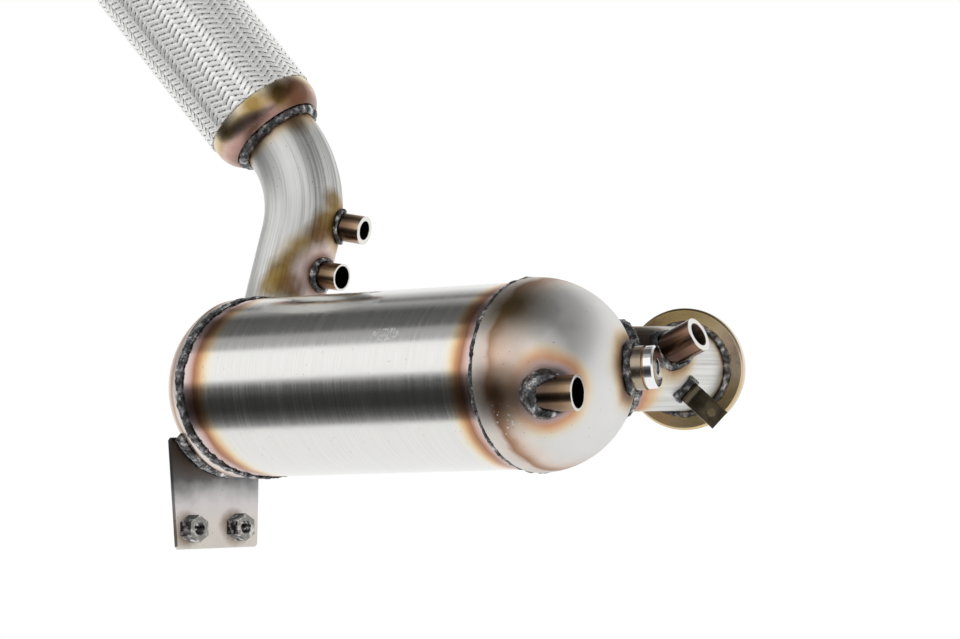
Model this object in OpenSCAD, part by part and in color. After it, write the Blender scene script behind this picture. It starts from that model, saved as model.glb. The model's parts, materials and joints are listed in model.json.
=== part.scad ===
// Diesel particulate filter for a car exhaust
// A round steel canister holds two ceramic bricks. Gas comes in at the flanged elbow on the inlet dome,
// passes the bricks and leaves by the outlet pipe and its braided flexible coupling.
// Millimetres, +Z up, +X along the canister from its outlet end to its inlet end.
// The origin is midway between the two bracket bolts, on the bracket face that bolts to the engine.

/* [Canister] */
// Outside diameter of the canister shell
can_d = 127; // [110:1:145]
// Wall of the canister shell
can_wall = 1.5; // [1.2:0.1:2.5]
// Distance between the centres of the two end domes
can_len = 264; // [256:1:320]
// Angle that the outlet end of the shell is cut at, from square
mitre = 17; // [12:1:20]

/* [End domes] */
// Wall of both pressed end domes
dome_wall = 2; // [1.5:0.1:3]
// Space between the shell and the inside of a dome
dome_play = 0.6; // [0.4:0.1:1.2]
// How far the shell reaches into the inlet dome
dome_lap = 5; // [3:0.5:8]

/* [Bricks] */
// Diameter of both ceramic bricks
brick_d = 118; // [100:0.5:118.5]
// Length of the oxidation brick
oxidation_len = 66; // [50:1:70]
// Length of the filter brick
filter_len = 152; // [120:1:154]
// Space between the two bricks
brick_gap = 10; // [6:1:14]

/* [Inlet] */
// Outside diameter of the inlet elbow
elbow_d = 58; // [52:0.5:60]
// Wall of the inlet elbow
elbow_wall = 1.8; // [1.5:0.1:2.5]
// Direction that the elbow leaves the dome in, from the canister axis
elbow_angle = 66; // [66:1:75]
// Height of the elbow above the canister axis
elbow_rise = 3; // [0:0.5:6]
// Distance from the dome centre to the start of the bend
elbow_lead = 71; // [69:1:80]
// Centre line radius of the elbow
elbow_bend_r = 60; // [52:1:80]
// Angle that the elbow turns through
elbow_turn = 50; // [40:1:65]
// Straight run between the bend and the flange face
elbow_end = 16; // [14:1:24]
// Outside diameter of the inlet flange
flange_d = 84; // [78:1:96]
// Thickness of the inlet flange
flange_t = 8; // [6:0.5:10]

/* [Ports on the inlet dome] */
// Outside diameter of the pressure stub
dome_stub_d = 24.5; // [20:0.5:26]
// Wall of the pressure stub
dome_stub_wall = 2; // [1.5:0.1:3]
// Direction of the pressure stub, from the canister axis
dome_stub_angle = 18; // [14:1:22]
// Outside diameter of the sensor bung
bung_d = 30; // [27:0.5:30]
// Height of the sensor bung above the dome
bung_h = 9; // [7:0.5:14]
// Direction of the sensor bung, from the canister axis
bung_angle = 26; // [22:0.5:27]
// Thread diameter of the bung and of the lambda boss
sensor_thread_d = 18; // [16:0.5:19]

/* [Ports on the inlet elbow] */
// Outside diameter of the lambda boss
lambda_d = 24; // [22:0.5:26]
// Length of the lambda boss from the middle of the elbow
lambda_len = 55; // [50:1:62]
// Width of the bent support tab
tab_w = 15; // [12:0.5:18]
// Thickness of the bent support tab
tab_t = 2; // [1.5:0.1:3]
// Diameter of the hole in the support tab
tab_hole_d = 5.5; // [4:0.5:7]

/* [Outlet pipe] */
// Outside diameter of the outlet pipe
pipe_d = 58; // [52:0.5:60]
// Wall of the outlet pipe
pipe_wall = 1.8; // [1.5:0.1:2.5]
// Centre line radius of both bends of the outlet pipe
pipe_bend_r = 82; // [75:1:90]
// Angle of the bend that turns the pipe up
pipe_up_turn = 79; // [70:1:85]
// Straight run between the two bends
pipe_mid = 27; // [20:1:40]
// Angle of the bend that leans the pipe towards the coupling
pipe_lean_turn = 53; // [40:1:60]
// Outside diameter of the thick sensor boss
boss_d = 21; // [18:0.5:23]
// Thread diameter of the thick sensor boss
boss_thread_d = 14; // [10:0.5:14.5]
// Length of the sensor boss from the middle of the pipe
boss_len = 52; // [46:1:58]
// Outside diameter of the thin pressure stub
stub_d = 20; // [16:0.5:21]
// Wall of the thin pressure stub
stub_wall = 1.6; // [1.2:0.1:2.5]
// Length of the thin stub from the middle of the pipe
stub_len = 47; // [42:1:52]

/* [Flexible coupling] */
// Outside diameter of the braid
braid_d = 88; // [86:0.5:94]
// Length of the braid between its two collars
braid_len = 150; // [130:2:190]
// Length of the plain tail pipe that stands out past the coupling
tail_len = 55; // [45:1:80]

/* [Bracket] */
// Thickness of the bracket plate
plate_t = 3; // [2.5:0.1:5]
// Width of the bracket plate at its top
plate_w = 88; // [76:1:96]
// Distance between the two bolts
bolt_spacing = 46; // [40:1:52]
// Height of the canister axis above the bolts
bolt_drop = 99; // [94:1:110]
// Distance from the bracket face to the outlet dome centre
plate_gap = 40; // [36:0.5:44]
// Bolt thread diameter
bolt_d = 10; // [8:0.5:10.5]

/* [Hidden] */
$fn = 96;

// Canister and domes
can_r = can_d / 2;
dome_in = can_r + dome_play;
dome_r = dome_in + dome_wall;
bolt_side = 18;
cap_at = [plate_gap, bolt_side, bolt_drop];
dome_at = cap_at + [can_len, 0, 0];
// The outlet dome faces this way, turned to the far side by the mitre
cap_az = 180 - mitre;
// The outlet dome is a sphere that runs into a short skirt as wide as the shell
cap_r = can_r / cos(mitre) + 0.9;
seam_r = 2.8;
mitre_seam_w = 6.4;
mitre_seam_h = 1.4;
// Wall that each face of a tube loses where it is bent
thinning = 0.06;
// How far a straight run reaches into the bend beside it
joint = 1;

// Bricks
brick_r = brick_d / 2;
mat_r = can_r - can_wall;
brick_start = 8;

// Inlet elbow
elbow_r = elbow_d / 2;
elbow_bore = elbow_r - elbow_wall;
flange_r = flange_d / 2;
// Angle round the elbow and lean along it of the lambda boss
lambda_roll = -118;
lambda_lean = 33;
// Place of the support tab round the bend and round the pipe
tab_turn = 20;
tab_roll = 31;
tab_twist = 147;
tab_bend = 45;
tab_bend_r = 5;
tab_knee = elbow_r + 5;
tab_reach = 24;
// Space between the end of the tab and the elbow, inside the weld
tab_seat = 0.1;

// Pressure stub on the dome: its axis runs this far to the near side of the dome centre and this low
dome_stub_r = dome_stub_d / 2;
dome_stub_bore = dome_stub_r - dome_stub_wall;
dome_stub_side = dome_r - 8;
dome_stub_low = 14;
dome_stub_from = 29;
dome_stub_to = 54;

// Sensor bung and plug
bung_r = bung_d / 2;
sensor_r = sensor_thread_d / 2;
bung_top = dome_r + bung_h;
washer_t = 1.6;
plug_head_t = 6.5;
plug_hex = 10;

// Outlet pipe
pipe_r = pipe_d / 2;
pipe_bore = pipe_r - pipe_wall;
pipe_az = 133;
pipe_el = 10;
pipe_lead = 67;
pipe_up_roll = 195.5;
pipe_lean_roll = -112;
// The pipe ends this far past the weld to the coupling
pipe_weld_at = 6;
pipe_reach = 8;
boss_r = boss_d / 2;
stub_r = stub_d / 2;

// Coupling
braid_r = braid_d / 2;
braid_relief = 0.9;
braid_bore = braid_r - 2.4;
strands = 24;
collar_r = braid_r - 1;
collar_band = 6;
collar_round = 20;
collar_turn = 50;
collar_len = collar_band + collar_round * sin(collar_turn);
collar_wall = 2;
spigot_len = 9;
convolutions = 12;
fold = (braid_len - 2 * spigot_len - 4) / convolutions;
fold_wall = 0.8;
fold_mid = braid_bore - fold / 2 - 1.2;
// The cuffs of the bellows slide into the spigots of the collars with this play
cuff_play = 0.2;
spigot_bore = fold_mid + fold_wall / 2 + cuff_play;
spigot_wall = 2;

// Bracket
plate_top = bolt_drop - 34;
plate_low = 14.5;
plate_left = -38.5;
plate_taper = 5;
nut_h = 11;
nut_af = 17;

// Local Z turned to a compass direction and a climb
module aim(az, el) {
  rotate([0, 90 - el, az]) children();
}

// Moves to the far end of a bend that leaves along Z and turns towards X
module past_bend(r, a) {
  translate([r * (1 - cos(a)), 0, r * sin(a)]) rotate([0, a, 0]) children();
}

// Round solid bar bent through an angle, from Z towards X
module bent_bar(r, a, rad) {
  translate([r, 0, 0]) rotate([90, 0, 180]) rotate_extrude(angle = a) translate([r, 0])
    circle(rad - thinning);
}

// Pipe bent through an angle, from Z towards X
module bent_pipe(r, a, rad, bore) {
  translate([r, 0, 0]) rotate([90, 0, 180]) rotate_extrude(angle = a) translate([r, 0]) difference() {
    circle(rad - thinning);
    circle(bore + thinning);
  }
}

// Straight pipe along Z
module tube(rad, bore, len) {
  linear_extrude(len) difference() {
    circle(rad);
    circle(bore);
  }
}

// Ring of round section about Z, cut flat where it lies on a bar of the given radius
module bead(bar_r, out, rad, arc = 360) {
  rotate_extrude(angle = arc) difference() {
    translate([bar_r + out, 0]) circle(rad);
    translate([bar_r - 20, -20]) square([20, 40]);
  }
}

// Block that fills the side of a plane that local Z points to
module half_space(size = 400) {
  translate([-size / 2, -size / 2, 0]) cube([size, size, size]);
}

// Frames that the ports and pipes are built in
module at_elbow() {
  translate(dome_at + [0, 0, elbow_rise]) aim(elbow_angle, 0) children();
}

module at_elbow_bend(a) {
  at_elbow() translate([0, 0, elbow_lead]) rotate([0, 0, 90]) past_bend(elbow_bend_r, a) children();
}

module at_flange() {
  at_elbow_bend(elbow_turn) translate([0, 0, elbow_end]) children();
}

module at_bung() {
  translate(dome_at) aim(bung_angle, 2) children();
}

module at_dome_stub() {
  translate(dome_at + [0, 0, -dome_stub_low]) rotate([0, 0, dome_stub_angle])
    translate([0, -dome_stub_side, 0]) rotate([0, 90, 0]) children();
}

module at_lambda() {
  at_elbow() translate([0, 0, elbow_lead]) rotate([0, 90 - lambda_lean, lambda_roll]) children();
}

module at_tab() {
  at_elbow_bend(tab_turn) rotate([0, 0, 180 + tab_roll]) rotate([tab_twist, 0, 0]) children();
}

module at_pipe() {
  translate(cap_at) aim(pipe_az, pipe_el) children();
}

module at_pipe_up() {
  at_pipe() translate([0, 0, pipe_lead]) rotate([0, 0, pipe_up_roll])
    past_bend(pipe_bend_r, pipe_up_turn) children();
}

module at_pipe_end() {
  at_pipe_up() translate([0, 0, pipe_mid]) rotate([0, 0, pipe_lean_roll])
    past_bend(pipe_bend_r, pipe_lean_turn) children();
}

module at_flex() {
  at_pipe_end() translate([0, 0, pipe_weld_at]) children();
}

module at_boss() {
  at_pipe_up() translate([-9, 0, pipe_mid + 12]) rotate([0, 88, 60]) children();
}

module at_stub() {
  at_pipe_up() rotate([0, 87, 52]) children();
}

module dome_solid() {
  translate(dome_at) sphere(dome_r);
}

// Outlet dome as a full body: round ends on a drum as wide as the shell
module cap_solid(inset = 0) {
  translate(cap_at) rotate([0, 90, 0]) rotate_extrude() intersection() {
    circle(cap_r - inset);
    translate([0, -100]) square([can_r - inset, 200]);
  }
}

module elbow_solid(extra = 0) {
  at_elbow() {
    cylinder(r = elbow_r + extra, h = elbow_lead + joint);
    translate([0, 0, elbow_lead]) rotate([0, 0, 90]) bent_bar(elbow_bend_r, elbow_turn, elbow_r + extra);
  }
}

// Upright part of the outlet pipe, the stretch that carries the ports
module riser_solid(extra = 0) {
  at_pipe() translate([0, 0, pipe_lead]) rotate([0, 0, pipe_up_roll])
    bent_bar(pipe_bend_r, pipe_up_turn, pipe_r + extra);
  at_pipe_up() {
    translate([0, 0, -joint]) cylinder(r = pipe_r + extra, h = pipe_mid + 2 * joint);
    translate([0, 0, pipe_mid]) rotate([0, 0, pipe_lean_roll])
      bent_bar(pipe_bend_r, pipe_lean_turn, pipe_r + extra);
  }
}

// Rolled canister shell, square at the inlet and mitred at the outlet
module canister_shell() {
  color([0.78, 0.77, 0.75]) difference() {
    translate(cap_at - [60, 0, 0]) rotate([0, 90, 0]) tube(can_r, can_r - can_wall, can_len + 60 + dome_lap);
    translate(cap_at) aim(cap_az, 0) half_space();
  }
}

// Pressed inlet dome with openings for the elbow, the stub and the bung
module inlet_dome() {
  color([0.72, 0.68, 0.62]) difference() {
    dome_solid();
    translate(dome_at) sphere(dome_in);
    translate(dome_at) aim(180, 0) half_space();
    at_elbow() cylinder(r = elbow_bore, h = 100);
    at_bung() cylinder(r = sensor_r, h = 100);
    at_dome_stub() translate([0, 0, dome_stub_from]) cylinder(r = dome_stub_bore, h = 60);
  }
}

// Pressed outlet dome with a skirt, set on the mitred end of the shell
module outlet_dome() {
  color([0.72, 0.68, 0.62]) difference() {
    cap_solid();
    cap_solid(dome_wall);
    translate(cap_at) aim(cap_az + 180, 0) half_space();
    at_pipe() cylinder(r = pipe_bore, h = 100);
  }
}

// Weld that fills the step between the shell and the rim of the inlet dome
module inlet_seam_weld() {
  color([0.35, 0.33, 0.31]) translate(dome_at) rotate([0, 90, 0]) rotate_extrude() intersection() {
    translate([can_r + 0.4, -1.4]) circle(seam_r);
    translate([can_r, -20]) square([20, 20]);
    circle(dome_r, $fn = 360);
  }
}

// Weld round the mitred outlet seam
module outlet_seam_weld() {
  color([0.35, 0.33, 0.31]) intersection() {
    translate(cap_at - [60, 0, 0]) rotate([0, 90, 0]) tube(can_r + mitre_seam_h, can_r, 120);
    translate(cap_at) aim(cap_az, 0) translate([-100, -100, -mitre_seam_w / 2]) cube([200, 200, mitre_seam_w]);
  }
}

// One ceramic brick with its face this far inside the inlet dome centre
module brick(start, len) {
  translate(dome_at - [start + len, 0, 0]) rotate([0, 90, 0]) cylinder(r = brick_r, h = len);
}

// Mat that packs a brick into the shell
module mat(start, len) {
  translate(dome_at - [start + len - 3, 0, 0]) rotate([0, 90, 0]) tube(mat_r, brick_r, len - 6);
}

module oxidation_brick() {
  color([0.75, 0.68, 0.56]) brick(brick_start, oxidation_len);
}

module oxidation_mat() {
  color([0.88, 0.86, 0.8]) mat(brick_start, oxidation_len);
}

module filter_brick() {
  color([0.5, 0.5, 0.48]) brick(brick_start + oxidation_len + brick_gap, filter_len);
}

module filter_mat() {
  color([0.88, 0.86, 0.8]) mat(brick_start + oxidation_len + brick_gap, filter_len);
}

// Inlet elbow, shaped to sit on the dome
module inlet_elbow() {
  color([0.8, 0.78, 0.74]) difference() {
    union() {
      at_elbow() tube(elbow_r, elbow_bore, elbow_lead + joint);
      at_elbow() translate([0, 0, elbow_lead]) rotate([0, 0, 90])
        bent_pipe(elbow_bend_r, elbow_turn, elbow_r, elbow_bore);
      at_elbow_bend(elbow_turn) translate([0, 0, -joint]) tube(elbow_r, elbow_bore, elbow_end + joint);
    }
    dome_solid();
    at_lambda() cylinder(r = sensor_r - 0.8, h = lambda_len);
  }
}

module inlet_elbow_weld() {
  color([0.32, 0.3, 0.28]) difference() {
    at_elbow() translate([0, 0, sqrt(dome_r * dome_r - elbow_r * elbow_r) + 1.2]) bead(elbow_r, 1.6, 3.4);
    dome_solid();
    at_bung() cylinder(r = bung_r, h = 100);
  }
}

// Turned flange, flush with the end of the elbow
module inlet_flange() {
  color([0.76, 0.66, 0.5]) at_flange() translate([0, 0, -flange_t]) rotate_extrude() polygon([
    [elbow_r, 0],
    [flange_r - 1.5, 0],
    [flange_r, 1.5],
    [flange_r, flange_t - 1],
    [flange_r - 1, flange_t],
    [elbow_r, flange_t]
  ]);
}

module inlet_flange_weld() {
  color([0.4, 0.36, 0.32]) difference() {
    at_flange() translate([0, 0, -flange_t - 0.6]) bead(elbow_r, 1.2, 2.8);
    at_flange() translate([0, 0, -flange_t]) cylinder(r = flange_r, h = 20);
  }
}

// Pressure stub that lies along the side of the inlet dome
module dome_stub() {
  color([0.62, 0.5, 0.32]) difference() {
    at_dome_stub() translate([0, 0, dome_stub_from])
      tube(dome_stub_r, dome_stub_bore, dome_stub_to - dome_stub_from);
    dome_solid();
  }
}

// Weld that closes the back of the stub and seals its sides to the dome
module dome_stub_weld() {
  color([0.3, 0.28, 0.26]) difference() {
    intersection() {
      at_dome_stub() translate([0, 0, dome_stub_from + 1]) sphere(dome_stub_r + 4.3);
      translate(dome_at) sphere(dome_r + 10.5);
    }
    dome_solid();
    at_dome_stub() translate([0, 0, dome_stub_from]) cylinder(r = dome_stub_r, h = 60);
  }
}

module sensor_bung() {
  color([0.6, 0.56, 0.5]) difference() {
    at_bung() tube(bung_r, sensor_r, bung_top);
    dome_solid();
  }
}

// Weld round the bung, open on the side where the weld of the elbow takes over
module sensor_bung_weld() {
  color([0.32, 0.3, 0.28]) difference() {
    at_bung() translate([0, 0, sqrt(dome_r * dome_r - bung_r * bung_r) + 1]) rotate([0, 0, 140])
      bead(bung_r, 1.2, 2.6, 260);
    dome_solid();
  }
}

module plug_washer() {
  color([0.7, 0.45, 0.3]) at_bung() translate([0, 0, bung_top]) tube(bung_r - 1.5, sensor_r + 0.3, washer_t);
}

// Screwed plug with a hexagon socket
module bung_plug() {
  color([0.86, 0.86, 0.86]) at_bung() difference() {
    union() {
      translate([0, 0, bung_top - bung_h + 1]) cylinder(r = sensor_r - 0.05, h = bung_h + washer_t);
      translate([0, 0, bung_top + washer_t]) cylinder(r = bung_r - 0.4, h = plug_head_t - 1.2);
      translate([0, 0, bung_top + washer_t + plug_head_t - 1.2])
        cylinder(r1 = bung_r - 0.4, r2 = bung_r - 1.6, h = 1.2);
    }
    translate([0, 0, bung_top + washer_t + plug_head_t - 5]) cylinder(d = plug_hex / cos(30), h = 10, $fn = 6);
  }
}

// Threaded boss that leans out of the elbow
module lambda_boss() {
  color([0.6, 0.4, 0.27]) difference() {
    at_lambda() difference() {
      cylinder(r = lambda_d / 2, h = lambda_len);
      translate([0, 0, -1]) cylinder(r = sensor_r - 0.8, h = lambda_len + 2);
    }
    elbow_solid();
  }
}

module lambda_boss_weld() {
  color([0.34, 0.3, 0.27]) difference() {
    intersection() {
      at_lambda() cylinder(r = lambda_d / 2 + 3, h = lambda_len - 6);
      elbow_solid(3.2);
    }
    elbow_solid();
    at_lambda() cylinder(r = lambda_d / 2, h = lambda_len);
    translate(dome_at) sphere(dome_r + 4.5);
  }
}

// Point on one face of the bent strip: this far round its bend, then this far along its free end
function tab_point(side, turn, run = 0) =
  let (r = tab_bend_r + side * tab_t / 2)
    [tab_knee + r * sin(turn) + run * cos(turn), r * cos(turn) - tab_bend_r - run * sin(turn)];

// Side view of the bent strip, with its root at the elbow
module tab_outline() {
  steps = 8;
  polygon(concat(
    [[elbow_r + tab_seat, tab_t / 2]],
    [for (i = [0 : steps]) tab_point(1, tab_bend * i / steps)],
    [tab_point(1, tab_bend, tab_reach), tab_point(-1, tab_bend, tab_reach)],
    [for (i = [steps : -1 : 0]) tab_point(-1, tab_bend * i / steps)],
    [[elbow_r + tab_seat, -tab_t / 2]]
  ));
}

// Bent strip with a fixing hole near its free end
module support_tab() {
  color([0.45, 0.4, 0.28]) difference() {
    at_tab() rotate([90, 0, 0]) linear_extrude(tab_w, center = true) tab_outline();
    at_tab_hole() translate([0, 0, -10]) cylinder(d = tab_hole_d, h = 20);
  }
}

module at_tab_hole() {
  at_tab() translate([tab_knee, 0, -tab_bend_r]) rotate([0, tab_bend, 0])
    translate([tab_reach - 8, 0, tab_bend_r]) children();
}

module support_tab_weld() {
  color([0.3, 0.27, 0.24]) difference() {
    at_tab() translate([elbow_r - 0.5, 0, 0]) rotate([90, 0, 0]) cylinder(r = 4.5, h = tab_w + 4, center = true);
    elbow_solid();
    at_tab() translate([0, -tab_w / 2, -tab_t / 2]) cube([60, tab_w, tab_t]);
  }
}

// Outlet pipe: leaves the far side of the outlet dome, turns up, then leans towards the coupling
module outlet_pipe() {
  color([0.78, 0.76, 0.72]) difference() {
    union() {
      at_pipe() tube(pipe_r, pipe_bore, pipe_lead + joint);
      at_pipe() translate([0, 0, pipe_lead]) rotate([0, 0, pipe_up_roll])
        bent_pipe(pipe_bend_r, pipe_up_turn, pipe_r, pipe_bore);
      at_pipe_up() translate([0, 0, -joint]) tube(pipe_r, pipe_bore, pipe_mid + 2 * joint);
      at_pipe_up() translate([0, 0, pipe_mid]) rotate([0, 0, pipe_lean_roll])
        bent_pipe(pipe_bend_r, pipe_lean_turn, pipe_r, pipe_bore);
      at_pipe_end() translate([0, 0, -joint]) tube(pipe_r, pipe_bore, pipe_weld_at + pipe_reach + joint);
    }
    cap_solid();
    at_boss() cylinder(r = boss_thread_d / 2, h = 100);
    at_stub() cylinder(r = stub_r - stub_wall, h = 100);
  }
}

module outlet_pipe_weld() {
  color([0.34, 0.32, 0.3]) difference() {
    at_pipe() translate([0, 0, sqrt(cap_r * cap_r - pipe_r * pipe_r) + 0.4]) bead(pipe_r, 1.6, 3.6);
    cap_solid();
  }
}

// Port tube that stands on the outlet pipe
module outlet_boss() {
  color([0.7, 0.62, 0.48]) difference() {
    at_boss() tube(boss_r, boss_thread_d / 2, boss_len);
    riser_solid();
  }
}

module outlet_boss_weld() {
  color([0.36, 0.32, 0.28]) difference() {
    intersection() {
      at_boss() tube(boss_r + 3, boss_r, boss_len - 6);
      riser_solid(3);
    }
    riser_solid();
  }
}

module outlet_stub() {
  color([0.62, 0.52, 0.36]) difference() {
    at_stub() tube(stub_r, stub_r - stub_wall, stub_len);
    riser_solid();
  }
}

module outlet_stub_weld() {
  color([0.36, 0.32, 0.28]) difference() {
    at_stub() translate([0, 0, pipe_r - 0.6]) bead(stub_r, 0.8, 2.8);
    riser_solid();
  }
}

// Half section of a coupling collar: flat end on the pipe, round shoulder, band and spigot
module collar_outline() {
  shoulder = collar_len - collar_band;
  hub = collar_r - collar_round * (1 - cos(collar_turn));
  translate([collar_r - collar_round, shoulder]) intersection() {
    difference() {
      circle(collar_round);
      circle(collar_round - collar_wall);
    }
    polygon([[0, 0], [60, 0], [60, -60 * tan(collar_turn)]]);
  }
  translate([pipe_r, 0]) square([hub - pipe_r, collar_wall]);
  translate([collar_r - collar_wall, shoulder]) square([collar_wall, collar_band]);
  translate([spigot_bore, collar_len - collar_wall]) square([collar_r - spigot_bore, collar_wall]);
  translate([spigot_bore, collar_len]) square([spigot_wall, spigot_len]);
}

module collar() {
  rotate_extrude() collar_outline();
}

// Weld between a collar and its pipe
module collar_weld() {
  difference() {
    translate([0, 0, -1.2]) bead(pipe_r, 1.8, 4);
    cylinder(r = braid_r, h = 20);
  }
}

module flex_lower_collar() {
  color([0.76, 0.66, 0.56]) at_flex() collar();
}

module flex_lower_weld() {
  color([0.4, 0.36, 0.33]) at_flex() collar_weld();
}

// Half section of the gas-tight bellows: round folds in and out with a plain cuff at each end
module bellows_outline() {
  arc = fold / 4;
  for (i = [0 : convolutions - 1]) {
    translate([fold_mid, (i + 0.25) * fold]) intersection() {
      difference() {
        circle(arc + fold_wall / 2);
        circle(arc - fold_wall / 2);
      }
      translate([0, -20]) square([20, 40]);
    }
    translate([fold_mid, (i + 0.75) * fold]) intersection() {
      difference() {
        circle(arc + fold_wall / 2);
        circle(arc - fold_wall / 2);
      }
      translate([-20, -20]) square([20, 40]);
    }
  }
  translate([fold_mid - fold_wall / 2, -spigot_len - 2]) square([fold_wall, spigot_len + 2]);
  translate([fold_mid - fold_wall / 2, convolutions * fold]) square([fold_wall, spigot_len + 2]);
}

module flex_bellows() {
  color([0.8, 0.8, 0.79]) at_flex() translate([0, 0, collar_len + spigot_len + 2])
    rotate_extrude() bellows_outline();
}

// Woven braid: two sets of strands wind opposite ways and pass two over, two under
braid_cols = strands * 3;
braid_rows = round(braid_len / 3.2);
function wrap(n, m) = ((n % m) + m) % m;
function strand_up(a, b) = wrap(floor(a / 3) - floor(b / 3), 4) < 2;
function strand_h(a, b) = wrap(strand_up(a, b) ? a : b, 3) == 0 ? 0 : braid_relief;
function ring_pt(r, i, z) = [r * cos(360 * i / braid_cols), r * sin(360 * i / braid_cols), z];

module flex_braid() {
  n = braid_cols;
  m = braid_rows;
  base = braid_r - braid_relief;
  outer = [for (k = [0 : m], i = [0 : n - 1]) ring_pt(base + strand_h(i + k, i - k), i, braid_len * k / m)];
  inner = [for (z = [0, braid_len], i = [0 : n - 1]) ring_pt(braid_bore, i, z)];
  low = n * (m + 1);
  top = low + n;
  side = [for (k = [0 : m - 1], i = [0 : n - 1])
    let (j = (i + 1) % n, a = k * n + i, b = k * n + j, c = a + n, d = b + n)
      each strand_up(i + k + 1, i - k) ? [[a, c, b], [b, c, d]] : [[a, c, d], [a, d, b]]];
  bore = [for (i = [0 : n - 1]) let (j = (i + 1) % n)
    each [[low + i, low + j, top + j], [low + i, top + j, top + i]]];
  ends = [for (i = [0 : n - 1]) let (j = (i + 1) % n, a = m * n)
    each [[i, j, low + j], [i, low + j, low + i], [a + i, top + j, a + j], [a + i, top + i, top + j]]];
  color([0.82, 0.82, 0.8]) at_flex() translate([0, 0, collar_len])
    polyhedron(concat(outer, inner), concat(side, bore, ends));
}

// Frame at the far end of the coupling, looking back along it
module at_far_end() {
  at_flex() translate([0, 0, 2 * collar_len + braid_len]) rotate([180, 0, 0]) children();
}

module flex_upper_collar() {
  color([0.76, 0.66, 0.56]) at_far_end() collar();
}

module flex_upper_weld() {
  color([0.4, 0.36, 0.33]) at_far_end() collar_weld();
}

// Plain pipe end that the rest of the exhaust slips over
module tail_pipe() {
  color([0.78, 0.76, 0.72]) at_far_end() translate([0, 0, -tail_len])
    tube(pipe_r, pipe_bore, tail_len + pipe_reach);
}

// Flat bracket plate, cut to the outlet dome
module bracket_plate() {
  right = plate_left + plate_w;
  nip = 2;
  color([0.7, 0.66, 0.58]) difference() {
    rotate([90, 0, 90]) linear_extrude(plate_t) difference() {
      polygon([
        [plate_left + plate_taper - 1 + nip, -plate_low],
        [right - plate_taper - nip, -plate_low],
        [right - plate_taper, nip - plate_low],
        [right, plate_top],
        [plate_left + nip, plate_top],
        [plate_left, plate_top - nip],
        [plate_left + plate_taper - 1, nip - plate_low]
      ]);
      for (s = [-0.5, 0.5]) translate([s * bolt_spacing, 0]) circle(bolt_d / 2 + 0.5);
    }
    cap_solid();
  }
}

// Weld along the top of the plate, on the side of the nuts
module bracket_weld() {
  ring = sqrt(cap_r * cap_r - pow(plate_gap - plate_t, 2)) + 2.6;
  color([0.36, 0.34, 0.3]) difference() {
    translate(cap_at + [plate_t + 1.5 - plate_gap, 0, 0]) rotate([90, 0, 90]) rotate([0, 0, 214])
      rotate_extrude(angle = 88) translate([ring, 0]) circle(4.2);
    cap_solid();
    translate([-20, -100, -50]) cube([20 + plate_t, 200, 200]);
  }
}

// Hexagon weld nut on the dome side of the plate
module weld_nut(side) {
  translate([plate_t, side * bolt_spacing / 2, 0]) rotate([0, 90, 0]) difference() {
    cylinder(d = nut_af / cos(30), h = nut_h, $fn = 6);
    translate([0, 0, -1]) cylinder(d = bolt_d, h = nut_h + 2);
  }
}

module weld_nut_front() {
  color([0.72, 0.7, 0.66]) weld_nut(-1);
}

module weld_nut_rear() {
  color([0.72, 0.7, 0.66]) weld_nut(1);
}

canister_shell();
inlet_dome();
outlet_dome();
inlet_seam_weld();
outlet_seam_weld();
oxidation_brick();
oxidation_mat();
filter_brick();
filter_mat();
inlet_elbow();
inlet_elbow_weld();
inlet_flange();
inlet_flange_weld();
dome_stub();
dome_stub_weld();
sensor_bung();
sensor_bung_weld();
bung_plug();
plug_washer();
lambda_boss();
lambda_boss_weld();
support_tab();
support_tab_weld();
outlet_pipe();
outlet_pipe_weld();
outlet_boss();
outlet_boss_weld();
outlet_stub();
outlet_stub_weld();
flex_lower_collar();
flex_lower_weld();
flex_bellows();
flex_braid();
flex_upper_collar();
flex_upper_weld();
tail_pipe();
bracket_plate();
bracket_weld();
weld_nut_front();
weld_nut_rear();
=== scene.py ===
"""Looks of a diesel particulate filter: heat-tinted stainless steel, lumpy welds and a woven coupling."""

import json
import math

import bpy
import numpy as np
from mathutils import Matrix, Vector, noise


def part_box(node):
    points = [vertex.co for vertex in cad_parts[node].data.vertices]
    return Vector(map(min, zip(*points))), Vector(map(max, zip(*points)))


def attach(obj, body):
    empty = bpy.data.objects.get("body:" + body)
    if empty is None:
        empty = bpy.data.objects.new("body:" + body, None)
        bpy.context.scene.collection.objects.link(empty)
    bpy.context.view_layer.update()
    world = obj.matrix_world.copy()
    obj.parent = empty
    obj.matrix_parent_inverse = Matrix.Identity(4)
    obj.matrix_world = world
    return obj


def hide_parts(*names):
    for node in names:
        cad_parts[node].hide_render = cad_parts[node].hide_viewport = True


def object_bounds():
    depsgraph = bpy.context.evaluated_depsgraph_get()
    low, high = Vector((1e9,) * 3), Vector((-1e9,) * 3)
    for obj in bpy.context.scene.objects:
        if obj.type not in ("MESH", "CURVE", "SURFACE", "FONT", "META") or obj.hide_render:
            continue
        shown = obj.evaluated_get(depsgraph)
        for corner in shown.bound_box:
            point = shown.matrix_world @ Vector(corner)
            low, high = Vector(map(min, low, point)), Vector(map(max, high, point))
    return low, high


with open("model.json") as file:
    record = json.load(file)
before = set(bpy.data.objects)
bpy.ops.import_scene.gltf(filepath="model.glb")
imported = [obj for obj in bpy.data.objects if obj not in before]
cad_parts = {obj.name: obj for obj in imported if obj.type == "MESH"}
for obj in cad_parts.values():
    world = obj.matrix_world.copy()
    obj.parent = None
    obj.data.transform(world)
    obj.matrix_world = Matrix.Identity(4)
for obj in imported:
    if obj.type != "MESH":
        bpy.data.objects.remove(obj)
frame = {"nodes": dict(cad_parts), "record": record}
cad_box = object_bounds()
NODES = frame["nodes"]
MOUNTS = {m["name"]: m for m in frame["record"]["mounts"]}
MM = 0.001
FULL_TURN = 2 * math.pi
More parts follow.
